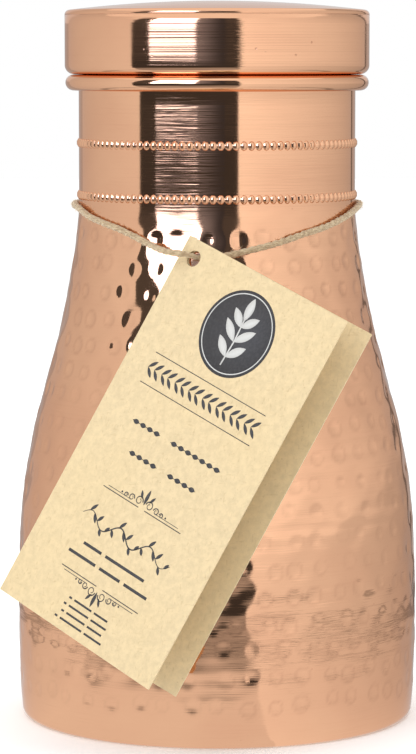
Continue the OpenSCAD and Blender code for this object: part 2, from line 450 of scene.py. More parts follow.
class Board:
    """A material's node tree, with one method that makes a node."""

    def __init__(self, name):
        self.material = bpy.data.materials.new(name)
        self.material.use_nodes = True
        self.tree = self.material.node_tree
        self.tree.nodes.clear()

    def add(self, kind, settings=None, inputs=None, output=0):
        """Adds a node, sets it up, and then gives its sockets their values or links."""
        node = self.tree.nodes.new(kind)
        for key, value in (settings or {}).items():
            if key == "stops":
                ramp = node.color_ramp.elements
                while len(ramp) < len(value):
                    ramp.new(0.5)
                for stop, (place, colour) in zip(ramp, value):
                    stop.position = place
                    stop.color = (*colour, 1)
            else:
                setattr(node, key, value)
        for key, value in (inputs or {}).items():
            if isinstance(value, Wire):
                self.tree.links.new(value.socket, node.inputs[key])
            else:
                node.inputs[key].default_value = value
        return Wire(self, node.outputs[output]) if node.outputs else None

    def position(self):
        """The point's place in metres, as Object coordinates."""
        return self.add("ShaderNodeTexCoord", output="Object")

    def noise(self, scale, detail=3.0, stretch=(1, 1, 1), roughness=0.5):
        """Noise on Object coordinates, each of which is first multiplied by its stretch."""
        place = self.add("ShaderNodeMapping", {}, {"Vector": self.position(), "Scale": stretch})
        inputs = {"Vector": place, "Scale": scale, "Detail": detail, "Roughness": roughness}
        return self.add("ShaderNodeTexNoise", {}, inputs)

    def speckle(self, scale, size):
        """1 in small round spots of a Voronoi pattern, and 0 outside them."""
        cells = self.add("ShaderNodeTexVoronoi", {}, {"Vector": self.position(), "Scale": scale}, "Distance")
        return 1 - cells.between(0.5 * size, size)

    def mix(self, factor, first, second):
        """Colour between first and second."""
        settings = {"data_type": "RGBA"}
        first = (*first, 1) if isinstance(first, tuple) else first
        second = (*second, 1) if isinstance(second, tuple) else second
        return self.add("ShaderNodeMix", settings, {0: factor, 6: first, 7: second}, 2)

    def axis(self, name):
        """The point's place along X, Y or Z, in metres."""
        return self.add("ShaderNodeSeparateXYZ", {}, {0: self.position()}, name)

    def azimuth(self):
        """Degrees round the bottle from the front, from -180 to 180."""
        return self.axis("X").maths("ARCTAN2", self.axis("X"), self.axis("Y") * -1) * (360 / TURN)

    def reach(self):
        """Distance from the bottle's axis, in metres."""
        x, y = self.axis("X"), self.axis("Y")
        return (x * x + y * y) ** 0.5

    def bump(self, height, distance):
        """Normal of a surface raised by height times distance, in metres."""
        return self.add("ShaderNodeBump", {}, {"Height": height, "Distance": distance, "Strength": 1.0})

    def finish(self, colour, roughness, normal=None, **fixed):
        """Adds the shader and the output. What fixed holds is the same all over the surface."""
        inputs = {"Base Color": colour, "Roughness": roughness}
        inputs.update({key.replace("_", " "): value for key, value in fixed.items()})
        if normal is not None:
            inputs["Normal"] = normal
        shader = self.add("ShaderNodeBsdfPrincipled", {}, inputs)
        self.add("ShaderNodeOutputMaterial", {}, {"Surface": shader})
        return self.material


# What copper's reflection is multiplied by where it is seen at a grazing angle
EDGE_TINT = (0.94, 0.82, 0.76, 1)


def copper(name, bright, dull, line_depth, pitting=0.5, base_roughness=0.045, lay=60, rim_shade=None):
    """Polished copper: fine lines that turning left round the axis, faint clouds of tarnish and small pits.
    A line is about a metre divided by lay in length. Where the mesh's attribute named by the last argument is
    high, the copper is darkened: painted shade round the rims of the hammer marks."""
    board = Board(name)
    lines = board.noise(1.0, 2.0, (lay, lay, 2600), 0.6)
    broad = board.noise(1.0, 2.0, (0.3 * lay, 0.3 * lay, 520), 0.5)
    patches = board.noise(26.0, 3.0).between(0.42, 0.62)
    clouds = board.noise(15.0, 4.0, (1, 1, 1.6), 0.6).between(0.38, 0.72)
    pits = board.speckle(260.0, 0.09) * board.noise(38.0).between(0.52, 0.66) * pitting
    dulled = (clouds * 0.42 + lines.between(0.5, 0.8) * 0.16 + pits * 0.8).clamped()
    colour = board.mix(dulled, bright, dull)
    # Painted shade: the copper is darkened round the rims of the hammer marks.
    if rim_shade:
        rims = board.add("ShaderNodeAttribute", {"attribute_name": rim_shade}, output="Fac")
        colour = board.mix(rims * (patches * 0.17 + 0.09), colour, tuple(0.62 * c for c in dull))
    roughness = base_roughness + clouds * 0.03 + lines * 0.03 + pits * 0.3
    height = lines * (0.35 + 0.65 * patches) + broad * 0.8 - pits * 1.5
    normal = board.bump(height, line_depth)
    return board.finish(colour, roughness, normal, Metallic=1.0, Specular_Tint=EDGE_TINT)


def inner_copper(colour):
    """Unpolished copper inside the bottle, with the streaks of spinning."""
    board = Board("inner_copper")
    streaks = board.noise(1.0, 3.0, (30, 30, 900))
    clouds = board.noise(22.0, 4.0).between(0.35, 0.7)
    deep = tuple(0.6 * c for c in colour)
    tone = board.mix(clouds, colour, deep)
    return board.finish(tone, 0.28 + streaks * 0.2, board.bump(streaks, 0.00004), Metallic=1.0)


def drawn_wire(colour):
    """Dull drawn wire inside the rolled lip."""
    board = Board("drawn_wire")
    stains = board.noise(90.0, 3.0)
    tone = board.mix(stains.between(0.4, 0.7), colour, tuple(0.5 * c for c in colour))
    return board.finish(tone, 0.35 + stains * 0.2, board.bump(stains, 0.00003), Metallic=1.0)


def silicone():
    """Matt off-white silicone with fine dust."""
    board = Board("seal_silicone")
    dust = board.noise(700.0, 2.0)
    tone = board.mix(dust.between(0.45, 0.75), (0.72, 0.70, 0.66), (0.60, 0.57, 0.52))
    return board.finish(tone, 0.42 + dust * 0.15, board.bump(dust, 0.00002), Subsurface_Weight=0.1)


def jute(light, dark):
    """Jute yarn: streaks of light and dark fibre, dry and a little fuzzy."""
    board = Board("jute")
    fine = board.noise(2600.0, 3.0, (0.35, 0.35, 1), 0.6)
    patches = board.noise(300.0, 3.0)
    tone = board.mix((fine.between(0.35, 0.66) * 0.75 + patches * 0.25).clamped(), dark, light)
    tooth = board.bump(fine, 0.00012)
    return board.finish(tone, 0.82 + fine * 0.1, tooth, Sheen_Weight=0.35, Sheen_Roughness=0.5)


def loose_jute(light):
    """Single jute fibres, paler than the yarn."""
    board = Board("loose_jute")
    tint = board.noise(900.0, 2.0)
    tone = board.mix(tint, light, tuple(min(1, 1.5 * c) for c in light))
    return board.finish(tone, 0.6 + tint * 0.2)


def kraft(colour, fleck):
    """Uncoated kraft card: soft mottling, pale and dark fibres lying both ways, and a slight tooth."""
    board = Board("kraft_card")
    mottle = board.noise(520.0, 5.0, (1, 1, 1), 0.68)
    cloud = board.noise(34.0, 3.0)
    hairs = board.noise(1.0, 2.0, (1500, 1500, 420), 0.5).between(0.60, 0.74)
    threads = board.noise(1.0, 2.0, (380, 380, 1700), 0.5).between(0.61, 0.75)
    spots = board.speckle(420.0, 0.10) * board.noise(120.0).between(0.5, 0.6)
    base = board.mix(mottle.between(0.3, 0.7), colour, tuple(0.86 * c for c in colour))
    base = board.mix(cloud.between(0.35, 0.75) * 0.2, base, (colour[0], 0.96 * colour[1], 0.82 * colour[2]))
    marks = (hairs * 0.34 + threads * 0.28 + spots * 0.55).clamped()
    tone = board.mix(marks, base, fleck)
    tooth = mottle * 0.6 + board.noise(1500.0, 2.0) * 0.4
    return board.finish(tone, 0.86 + mottle * 0.08, board.bump(tooth, 0.00005))


def print_ink(name, colour):
    """Flat ink in which the card's grain shows a little."""
    board = Board(name)
    grain = board.noise(1400.0, 3.0)
    tone = board.mix(grain.between(0.35, 0.75) * 0.5, colour, tuple(min(1, c + 0.035) for c in colour))
    return board.finish(tone, 0.62 + grain * 0.15, board.bump(grain, 0.00002))


def table_top():
    """Plain pale table, with the faintest unevenness."""
    board = Board("pale_table")
    tone = board.mix(board.noise(3.0), (0.93, 0.93, 0.93), (0.95, 0.95, 0.95))
    return board.finish(tone, 0.9, Emission_Color=(1, 1, 1, 1), Emission_Strength=0.12)


def glow(name, brightness, colour=(1, 1, 1)):
    """Light card of one colour. Its brightness is a function that works out, on the material's board, how
    bright the card is at a point."""
    board = Board(name)
    level = brightness(board)
    spread = board.add("ShaderNodeCombineXYZ", {}, {"X": level, "Y": level, "Z": level})
    tinted = board.add("ShaderNodeVectorMath", {"operation": "MULTIPLY"}, {0: spread, 1: colour})
    light = board.add("ShaderNodeEmission", {}, {"Color": tinted, "Strength": 1.0})
    board.add("ShaderNodeOutputMaterial", {}, {"Surface": light})
    return board.material


def studio_light(board, dark, right, back=0.47):
    """Brightness round the bottle: a screen on the left and one on the right that fade towards the back, the
    dark front between them, the back wall, and a narrow dark gap between it and the right screen. dark,
    right and back are the brightness of the front, the right screen and the back wall."""
    a = board.azimuth()
    corners = (-150, -66, 17, 147.5, 152)
    left_back, dark_from, dark_to, gap_from, gap_to = (a.between(c - 0.4, c + 0.4) for c in corners)
    return (
        (1 - left_back + gap_to) * back
        + (left_back - dark_from) * (a * 0.0027 + 1.01)
        + (dark_from - dark_to) * dark
        + (dark_to - gap_from) * (a * -0.0049 + 1.27) * right
        + (gap_from - gap_to) * 0.18
    )


def wall_light(board):
    """The screens and the wall, each of which changes a little with height."""
    z = board.axis("Z")
    dark = z.between(0.16, 0.2) * 0.03 + 0.048
    right = z.between(0, 0.18) * 0.15 + 0.85 - z.between(0.2, 0.5) * 0.07
    return studio_light(board, dark, right, z.between(0.19, 0.3) * 0.25 + 0.47)


def soft_box_light(board):
    """Bright from about the bottle's height upwards on its left part, and dim elsewhere, with a glimmer lower
    down that fades to the right."""
    z, a = board.axis("Z"), board.azimuth()
    glimmer = z.between(0.11, 0.14) * 0.27 * (1 - a.between(-20, 6))
    return z.between(0.18, 0.225) * 4.0 * (1 - a.between(-17, -15)) + glimmer + 0.05


def floor_light(board):
    """As bright as the screens that stand round it, except in front, where it is bright near the bottle and
    dark further out. A darker ring lies round the bottle, like the edge of a small table."""
    out = board.reach()
    edge = out.between(0.185, 0.20) - out.between(0.215, 0.235)
    front = 0.82 - out.between(0.10, 0.17) * 0.36 - out.between(0.2, 0.5) * 0.41
    return studio_light(board, front, 0.81) * (1 - edge * 0.45)


# ---------------------------------------------------------------- copper parts


def dents(copper_settings, angle, length, radius, reach):
    """How deep the hammer marks are at each grid point, and how near it is to a mark's rim. The marks lie in
    rows along length, each row with as many as fit round the bottle, and both places are moved a little at
    random. A mark is a dish whose depth is 1 - d squared, where d is the distance from its middle over its
    radius, and the rim is exp(-((d - 1) / 0.2) squared). The upper rows are deeper than the lower ones."""
    random = np.random.default_rng(7)
    row_gap, gap = copper_settings.dent_row / MM, copper_settings.dent_gap / MM
    start, end = reach
    rows = int((end - start) / row_gap)
    row = np.clip(np.floor((length - start) / row_gap), 0, rows - 1).astype(int)[:, None]
    row_radius = np.interp(start + (np.arange(rows) + 0.5) * row_gap, length, radius)
    counts = np.round(TURN * row_radius / gap).astype(int)
    most = counts.max() + 1
    phase = random.random(rows)
    shift_a = random.uniform(-0.2, 0.2, (rows, most))
    shift_l = random.uniform(-0.13, 0.13, (rows, most))
    size = copper_settings.dent_radius / MM * random.uniform(0.82, 1.08, (rows, most))
    depth = copper_settings.dent_depth / MM * random.uniform(0.45, 1.25, (rows, most))
    depth *= (0.75 + 0.45 * np.clip(np.arange(rows) / rows * 3 - 1.2, 0, 1))[:, None]
    place = (angle[None, :] / TURN * counts[row] + phase[row]) % counts[row]
    column = np.floor(place).astype(int)
    across = place - column - 0.5 - shift_a[row, column]
    across = across * TURN * radius[:, None] / counts[row]
    up = (length[:, None] - start) / row_gap - row - 0.5 - shift_l[row, column]
    distance = np.hypot(across, up * row_gap) / size[row, column]
    rim = np.exp(-(((distance - 1) / 0.2) ** 2))
    return depth[row, column] * np.clip(1 - distance**2, 0, None), rim


def waves(angle, length, height):
    """Slow waves in the sheet: a sum of sines of the angle and the length, with whole numbers of waves round,
    and of rings, each a sine of the length that is shifted by a sine of the angle."""
    random = np.random.default_rng(11)
    angle, length = angle[None, :], length[:, None]
    total = 0
    for turns, per_mm in ((9, 0.21), (14, 0.13), (19, 0.29), (23, 0.17), (31, 0.38), (12, 0.42)):
        total += np.sin(turns * angle + per_mm * length + random.uniform(0, TURN))
        total += np.sin(turns * angle - 1.3 * per_mm * length + random.uniform(0, TURN))
    rings = sum(
        np.sin(per_mm * length + 1.6 * np.sin(turns * angle + phase))
        for turns, per_mm, phase in ((2, 1.62, 0.4), (3, 1.27, 2.1), (5, 0.93, 4.0))
    )
    return height * (total / 4 + 0.13 * rings)


def shell_grid(settings, columns):
    """The whole bottle as one closed outline carried round the axis. Its outer side is pressed inwards,
    along its normal, by the hammer marks and the waves. Also gives where the inside starts, as a number of
    points, and how near each point is to a mark's rim."""
    side = respaced(smooth_through(SIDE, 24), 0.86)
    heading = headings(side)
    outward = stacked(heading[:, 1], -heading[:, 0])
    inner = side - SHEET * outward
    corner_steps = 6
    corner = (FOOT_R - FOOT_CORNER, FOOT_CORNER)
    lip = (LIP_R, LIP_Z)
    neck = [(NECK_R, z) for z in np.linspace(SHOULDER_Z, LIP_Z, 6)[1:-1]]
    parts = [
        [(FLANGE_R, 0)],
        arc(corner, FOOT_CORNER, -90, 0, corner_steps)[:-1],
        side,
        neck,
        arc(lip, ROLL_R - SHEET, 180, -118, 14),
        arc(lip, ROLL_R, -118, 180, 16),
        inner[::-1][::11],
        arc(corner, FOOT_CORNER - SHEET, 0, -90, 4)[1:],
        [(FLANGE_R, SHEET)],
    ]
    outline = np.vstack(parts)
    points, faces = turned(outline, columns)
    points = points.reshape(len(outline), columns, 3)
    first = 1 + corner_steps
    rows = slice(first, first + len(side))
    angle = np.arange(columns) * TURN / columns
    length = along(side)
    top = length[-1]
    pressed, rim = dents(settings, angle, length, side[:, 0], (5.5, top - 3.5))
    fade = eased(np.minimum((length - 1) / 8, (top - 1 - length) / 8))
    pressed += waves(angle, length, settings.ripple / MM) * fade[:, None]
    across, up = pressed * outward[:, :1], pressed * outward[:, 1:]
    points[rows] -= stacked(across * np.cos(angle), across * np.sin(angle), up)
    # The first six parts are the outer side and the rolled lip, and the others are the inside
    inside_from = sum(len(part) for part in parts[:6])
    rims = np.zeros((len(outline), columns))
    rims[rows] = rim
    return points.reshape(-1, 3), faces, inside_from * columns, rims


class BOTTLE_OT_body(bpy.types.Operator):
    """Adds the bottle's hammered shell with its rolled lip and turned-in foot"""

    bl_idname = "copper_bottle.body"
    bl_label = "Bottle Shell"

    def execute(self, context):
        settings = context.scene.bottle_copper
        columns = 430
        points, faces, inside_from, rims = shell_grid(settings, columns)
        bright, tarnish = tuple(settings.bright), tuple(settings.tarnish)
        # The rim attribute darkens the copper round each hammer mark as painted shade.
        outside = copper("hammered_copper", bright, tarnish, 0.00003, rim_shade="rim")
        materials = (outside, inner_copper(tuple(settings.inside)))
        piece = add_piece("bottle_shell", points, faces, "bottle", ["body_shell"], "copper", materials)
        inside = (faces.min(axis=1) >= inside_from - columns).astype(np.int32)
        piece.data.polygons.foreach_set("material_index", inside)
        piece.data.attributes.new("rim", "FLOAT", "POINT").data.foreach_set("value", rims.ravel())
        return {"FINISHED"}


class BOTTLE_OT_base(bpy.types.Operator):
    """Adds the domed plate that closes the foot"""

    bl_idname = "copper_bottle.base"
    bl_label = "Base Plate"

    def execute(self, context):
        under, edge_z = PLATE_LOW[2], PLATE_LOW[2] + SHEET
        rim_r, dome_r = PLATE_HIGH[0], FLANGE_R - 1
        dome = dome_over(dome_r, edge_z, PLATE_HIGH[2], 12)
        outline = np.vstack([
            dome - [0, SHEET],
            rounded([(dome_r, under), (rim_r, under), (rim_r, edge_z), (dome_r + 0.5, edge_z)], 0.2)[4:-4],
            dome[::-1],
        ])
        settings = context.scene.bottle_copper
        finish = copper("base_copper", tuple(settings.tarnish), tuple(settings.inside), 0.00006, 1.0, 0.16)
        add_turned("base_plate_dome", outline, 160, "bottle", "base_plate", "copper", finish, weld=True)
        return {"FINISHED"}


class BOTTLE_OT_wire(bpy.types.Operator):
    """Adds the wire inside the rolled lip"""

    bl_idname = "copper_bottle.wire"
    bl_label = "Lip Wire"

    def execute(self, context):
        outline = arc((LIP_R, LIP_Z), WIRE_R, 0, 360, 20)[:-1]
        finish = drawn_wire((0.45, 0.25, 0.16))
        add_turned("lip_stiffening_wire", outline, 200, "bottle", "lip_wire", "lip_wire_copper", finish)
        return {"FINISHED"}


class BOTTLE_OT_beads(bpy.types.Operator):
    """Adds the two bands of beads round the neck"""

    bl_idname = "copper_bottle.beads"
    bl_label = "Bead Bands"

    def execute(self, context):
        settings = context.scene.bottle_copper
        finish = copper("bead_copper", tuple(settings.bright), tuple(settings.tarnish), 0.00002)
        for name, z in zip(("upper", "lower"), BEADS):
            points, faces = bead_string(settings.bead_count, settings.bead_radius / MM, z)
            add_piece(f"{name}_beads", points, faces, "bottle", [f"{name}_bead_band"], "copper", [finish])
        return {"FINISHED"}


def bead_string(count, radius, z, samples=8, sides=9):
    """Row of flattened balls as one tube round the neck: its section is an ellipse 0.7 times as deep as it is
    high, and half its height at t, from -1 to 1 along a ball, is radius times the root of 1 - 0.97 t squared.
    The side next to the neck is cut flat inside the sheet."""
    v = np.arange(count * samples) * TURN / (count * samples)
    t = 2 * ((np.arange(len(v)) + 0.5) / samples % 1) - 1
    section = radius * np.sqrt(np.clip(1 - 0.97 * t**2, 0, 1))
    a = (np.arange(sides) + 0.5) * TURN / sides
    middle = NECK_R - 0.30
    r = np.maximum(middle + 0.7 * section[None, :] * np.cos(a)[:, None], NECK_R - 0.12)
    height = z + section[None, :] * np.sin(a)[:, None]
    points = stacked(r * np.cos(v), r * np.sin(v), height).reshape(-1, 3)
    return points, grid_faces(sides, len(v), True, True)


LID_COLUMNS = 256


def lid_finish(settings, name):
    """Copper with the longer and deeper lines that the lid's parts have."""
    return copper(name, tuple(settings.bright), tuple(settings.tarnish), 0.00006, 0.9, lay=9)


class BOTTLE_OT_lid_top(bpy.types.Operator):
    """Adds the lid's domed top with its turned-down skirt"""

    bl_idname = "copper_bottle.lid_top"
    bl_label = "Lid Top"

    def execute(self, context):
        rim_z = TOP_LOW[2] + SKIRT + LID_CORNER
        corner = (LID_R - LID_CORNER, rim_z - LID_CORNER)
        dome = dome_over(corner[0], rim_z, TOP_HIGH[2], 16)
        skirt_r = LID_R - SHEET - FIT
        outline = np.vstack([
            (dome - [0, SHEET])[:-1],
            [(skirt_r - SHEET, rim_z - SHEET - 0.4), (skirt_r - SHEET, TOP_LOW[2]), (skirt_r, TOP_LOW[2])],
            [(skirt_r, corner[1] - 0.05), (LID_R - 0.05, corner[1] - 0.01)],
            arc(corner, LID_CORNER, 0, 90, 8)[:-1],
            dome[::-1],
        ])
        finish = lid_finish(context.scene.bottle_copper, "lid_top_copper")
        add_turned("lid_dome", outline, LID_COLUMNS, "lid", "lid_top", "copper", finish, weld=True)
        return {"FINISHED"}


class BOTTLE_OT_lid_wall(bpy.types.Operator):
    """Adds the lid's wall with its rounded lower edge"""

    bl_idname = "copper_bottle.lid_wall"
    bl_label = "Lid Wall"

    def execute(self, context):
        low, high = WALL_LOW[2], WALL_HIGH[2]
        edge = (LID_R - LID_EDGE, low + LID_EDGE)
        inner_r = PLUG_R + FIT
        outline = np.vstack([
            [(inner_r, low)],
            arc(edge, LID_EDGE, -90, 0, 12),
            [(LID_R, z) for z in np.linspace(edge[1], high, 6)[1:]],
            [(LID_R - SHEET, high)],
            arc(edge, LID_EDGE - SHEET, 0, -90, 8),
            [(inner_r, low + SHEET)],
        ])
        finish = lid_finish(context.scene.bottle_copper, "lid_wall_copper")
        add_turned("lid_drum", outline, LID_COLUMNS, "lid", "lid_wall", "copper", finish)
        return {"FINISHED"}


class BOTTLE_OT_lid_plug(bpy.types.Operator):
    """Adds the plug's sleeve, with its rolled groove for the seal, and its flange"""

    bl_idname = "copper_bottle.lid_plug"
    bl_label = "Lid Plug"

    def execute(self, context):
        low, high = PLUG_LOW[2], PLUG_HIGH[2]
        seal_z = (SEAL_LOW[2] + SEAL_HIGH[2]) / 2
        seal_r = (SEAL_HIGH[2] - SEAL_LOW[2]) / 2
        groove_r = NECK_IN - 2 * (seal_r + FIT) - 0.1
        half = seal_r + 0.15
        outline = rounded([
            (PLUG_R, low), (PLUG_R, seal_z - half), (groove_r, seal_z - half), (groove_r, seal_z + half),
            (PLUG_R, seal_z + half), (PLUG_R, high - SHEET), (PLUG_HIGH[0], high - SHEET),
            (PLUG_HIGH[0], high), (PLUG_R - SHEET, high), (PLUG_R - SHEET, seal_z + half + SHEET),
            (groove_r - SHEET, seal_z + half + SHEET), (groove_r - SHEET, seal_z - half - SHEET),
            (PLUG_R - SHEET, seal_z - half - SHEET), (PLUG_R - SHEET, low),
        ], 0.3)
        finish = lid_finish(context.scene.bottle_copper, "plug_copper")
        add_turned("lid_plug_sleeve", outline, 200, "lid", "lid_plug", "copper", finish)
        return {"FINISHED"}


class BOTTLE_OT_lid_floor(bpy.types.Operator):
    """Adds the disc that closes the plug's lower end"""

    bl_idname = "copper_bottle.lid_floor"
    bl_label = "Lid Floor"

    def execute(self, context):
        low, high, r = DISC_LOW[2], DISC_HIGH[2], DISC_HIGH[0]
        rim = rounded([(r, low), (r, high), (r - SHEET, high), (r - SHEET, low + SHEET)], 0.3)
        flat = [(part * (r - 1.2), low) for part in np.linspace(0, 1, 5)]
        back = [(part * (r - SHEET - 0.6), low + SHEET) for part in np.linspace(1, 0, 5)]
        outline = np.vstack([flat, arc((r - 0.6, low + 0.6), 0.6, -90, 0, 3), rim[5:], back])
        finish = lid_finish(context.scene.bottle_copper, "lid_floor_copper")
        add_turned("lid_floor_disc", outline, 160, "lid", "lid_floor", "copper", finish, weld=True)
        return {"FINISHED"}


class BOTTLE_OT_seal(bpy.types.Operator):
    """Adds the silicone ring in the plug's groove"""

    bl_idname = "copper_bottle.seal"
    bl_label = "Seal"

    def execute(self, context):
        seal_r = (SEAL_HIGH[2] - SEAL_LOW[2]) / 2
        centre = (SEAL_HIGH[0] - seal_r, (SEAL_LOW[2] + SEAL_HIGH[2]) / 2)
        angle = np.radians(np.arange(0, 360, 15))
        flash = seal_r * (1 + 0.04 * np.exp(-((np.cos(angle) - 1) ** 2) * 80))
        outer = np.minimum(centre[0] + flash * np.cos(angle), SEAL_HIGH[0])
        outline = stacked(outer, centre[1] + seal_r * np.sin(angle))
        add_turned("seal_ring", outline, 200, "seal", "lid_seal", "seal", silicone())
        return {"FINISHED"}


# ---------------------------------------------------------------- twine


STRANDS = 3
TWINE_SIDES = 7 * STRANDS


def plied(path, thickness, lay_length, across, closed=False):
    """Twine: a tube whose section has one lobe for each strand and turns as it goes, so that its radius is
    half the thickness times (0.68 + 0.32 |cos(strands / 2 * (a - turns))| to the power 0.7)."""
    length = along(path)
    a = np.arange(TWINE_SIDES) * TURN / TWINE_SIDES
    turn = TURN * length / lay_length
    if closed:
        whole = length[-1] + np.linalg.norm(path[-1] - path[0])
        turn = TURN * length / (whole / max(1, round(whole / lay_length)))
    lobe = np.abs(np.cos(STRANDS / 2 * (a[None, :] - turn[:, None]))) ** 0.7
    return swept(path, across, thickness[:, None] / 2 * (0.68 + 0.32 * lobe), closed)


def hairs(roots, direction, length, radius, bend):
    """Bundle of thin fibres. Each runs from its root along direction times length, bends by bend times the
    square of the way along, and narrows to its tip; its section is a triangle."""
    rings = 4
    w = np.linspace(0, 1, rings)[None, :, None]
    middle = roots[:, None] + direction[:, None] * length[:, None, None] * w + bend[:, None] * w**2
    taper = radius * (1 - 0.7 * w[..., None])
    round_it = spokes(direction, [0.31, 0.52, 0.79], 3)
    points = (middle[:, :, None] + taper * round_it[:, None]).reshape(-1, 3)
    tube = grid_faces(rings, 3, False, True)
    starts = (np.arange(len(roots)) * rings * 3)[:, None]
    walls = (starts[..., None] + tube[None]).reshape(-1, 4)
    roots_closed = starts + [2, 1, 0]
    tips_closed = starts + (rings - 1) * 3 + np.arange(3)
    return points, walls.tolist() + roots_closed.tolist() + tips_closed.tolist()


def scattered_hairs(path, count, thickness, seed):
    """Fibres that start at random places on a path's surface and lean along it. None points at the neck:
    what of its direction is inwards is turned outwards."""
    random = np.random.default_rng(seed)
    place = random.uniform(0, len(path) - 1.001, count)
    low = place.astype(int)
    part = (place - low)[:, None]
    middle = path[low] * (1 - part) + path[low + 1] * part
    ahead = headings(path)[low] * random.choice([-1, 1], count)[:, None]
    out = unit(np.cross(ahead, random.normal(size=(count, 3))))
    outward = unit(middle * [1, 1, 0])
    inwards = np.minimum(0, (out * outward).sum(axis=1, keepdims=True))
    out = unit(out - 1.6 * inwards * outward)
    lean = random.uniform(0.5, 1.6, count)[:, None]
    direction = unit(ahead * lean + out * random.uniform(0.35, 1.0, count)[:, None])
    length = random.uniform(0.5, 1.9, count) * random.uniform(0.5, 1, count)
    bend = random.normal(size=(count, 3)) * 0.25 * length[:, None]
    return hairs(middle + out * 0.40 * thickness, direction, length, 0.032, bend)


class BOTTLE_OT_twine(bpy.types.Operator):
    """Adds the twine round the neck, its knot at the back and its loose fibres"""

    bl_idname = "copper_bottle.twine"
    bl_label = "Twine"

    def execute(self, context):
        settings = context.scene.bottle_twine
        thickness, squeezed = settings.thickness / MM, settings.squeezed / MM
        yarn = jute(tuple(settings.light), tuple(settings.dark))
        fuzz = loose_jute(tuple(settings.light))
        route = round_bottle(smooth_through(TWINE_ROUTE, 12))
        path = respaced(route, 0.45)
        hole = round_bottle([TAG_AT])[0]
        # The twine is squeezed up to 3.4 mm from the holes' middle, and has its full width 1.5 mm further on
        from_hole = np.linalg.norm(path - hole, axis=1)
        uneven = 1 + 0.035 * np.sin(along(path) * 0.9) * np.sin(along(path) * 0.23 + 1)
        width = squeezed + (thickness - squeezed) * eased((from_hole - 3.4) / 1.5)
        twisted = plied(path, width * np.minimum(uneven, 1.02), settings.lay_length / MM, (0, 0, 1))
        loop = capped(*twisted, TWINE_SIDES)
        piece = add_piece("twine_round_neck", *loop, "twine", ["twine_loop"], "twine", [yarn])

        knot_shape = self.knot(thickness, settings.lay_length / MM)
        knot = add_piece("twine_knot_tied", *knot_shape, "twine", ["twine_knot"], "twine", [yarn])
        loose = scattered_hairs(path[from_hole > 5], settings.fibres, thickness, 3)
        add_piece("twine_loose_fibres", *loose, "twine", [], "twine", [fuzz])
        return {"FINISHED"}

    @staticmethod
    def knot(thickness, lay_length):
        """Overhand knot: half of the curve (sin t + 2 sin 2t, 0.8 sin 3t, cos t - 2 cos 2t), laid against the
        neck, with the two ends of the twine hanging from it and spread into fibres."""
        middle = round_bottle([KNOT])[0]
        t = np.arange(96) * TURN / 96
        curl = 0.5 * stacked(
            np.sin(t) + 2 * np.sin(2 * t), 0.8 * np.sin(3 * t), np.cos(t) - 2 * np.cos(2 * t)
        )
        out = np.array([0, 1, 0])
        width = np.full(len(t), 0.86 * thickness)
        shapes = [plied(middle + [0, 0.25, 0] + curl, width, 5, out, closed=True)]
        for side in (-1, 1):
            ends = round_bottle([(180 + 1.2 * side, KNOT[1], KNOT[2]), (180 + 6 * side, *TAIL_END)])
            bent = ends[0] * 0.45 + ends[1] * 0.55 + [-0.5 * side, 0.4, 0]
            tail = respaced(smooth_through([ends[0], bent, ends[1]], 14), 0.4)
            taper = thickness * np.interp(np.linspace(0, 1, len(tail)), [0, 0.85, 1], [0.92, 1, 1.1])
            shapes.append(capped(*plied(tail, taper, lay_length, out), TWINE_SIDES))
            random = np.random.default_rng(20 + side)
            many = (70, 3)
            spread = unit(random.normal(size=many) * [0.34, 0.3, 0.12] + [0.12 * side, 0.12, -1])
            roots = tail[-1] + random.normal(size=many) * [0.3, 0.3, 0.1]
            bend = random.normal(size=many) * 0.35
            shapes.append(hairs(roots, spread, random.uniform(1.2, 3.4, many[0]), 0.05, bend))
        return joined(*shapes)


# ---------------------------------------------------------------- tag


def turn_matrix(angle, axis):
    """Turn by an angle in degrees about an axis."""
    return np.array(Matrix.Rotation(math.radians(angle), 3, axis))


def on_back_leaf(points):
    """From the back leaf's own frame to the bottle's: X runs from the fold, Y up the card and Z out of it."""
    turn = turn_matrix(TAG_FACING, "Z") @ turn_matrix(90 - TAG_LEAN, "X") @ turn_matrix(TAG_HANG, "Z")
    return points @ turn.T + round_bottle([TAG_AT])[0]


def on_front_leaf(points, thickness):
    """The same for the front leaf, which is opened about the fold."""
    rise = thickness / 2 + FIT / 2
    opened = (points + [-LEAF_LEFT, 0, rise]) @ turn_matrix(-TAG_OPENING, "Y").T
    return on_back_leaf(opened + [LEAF_LEFT, 0, rise])


def bowed(points, bow):
    """Raises a leaf's points by bow times sin(pi u) times sin(pi w) squared, where u and w go from 0 to 1
    across and down the leaf, and w starts below the flat top."""
    u = (points[:, 0] - LEAF_LEFT) / (LEAF_RIGHT - LEAF_LEFT)
    w = np.clip((LEAF_TOP - points[:, 1] - FLAT_TOP) / (LEAF_TOP - LEAF_FOOT - FLAT_TOP), 0, 1)
    lift = bow * np.sin(np.pi * u) * np.sin(np.pi * w) ** 2
    return points + stacked(0, 0, lift)


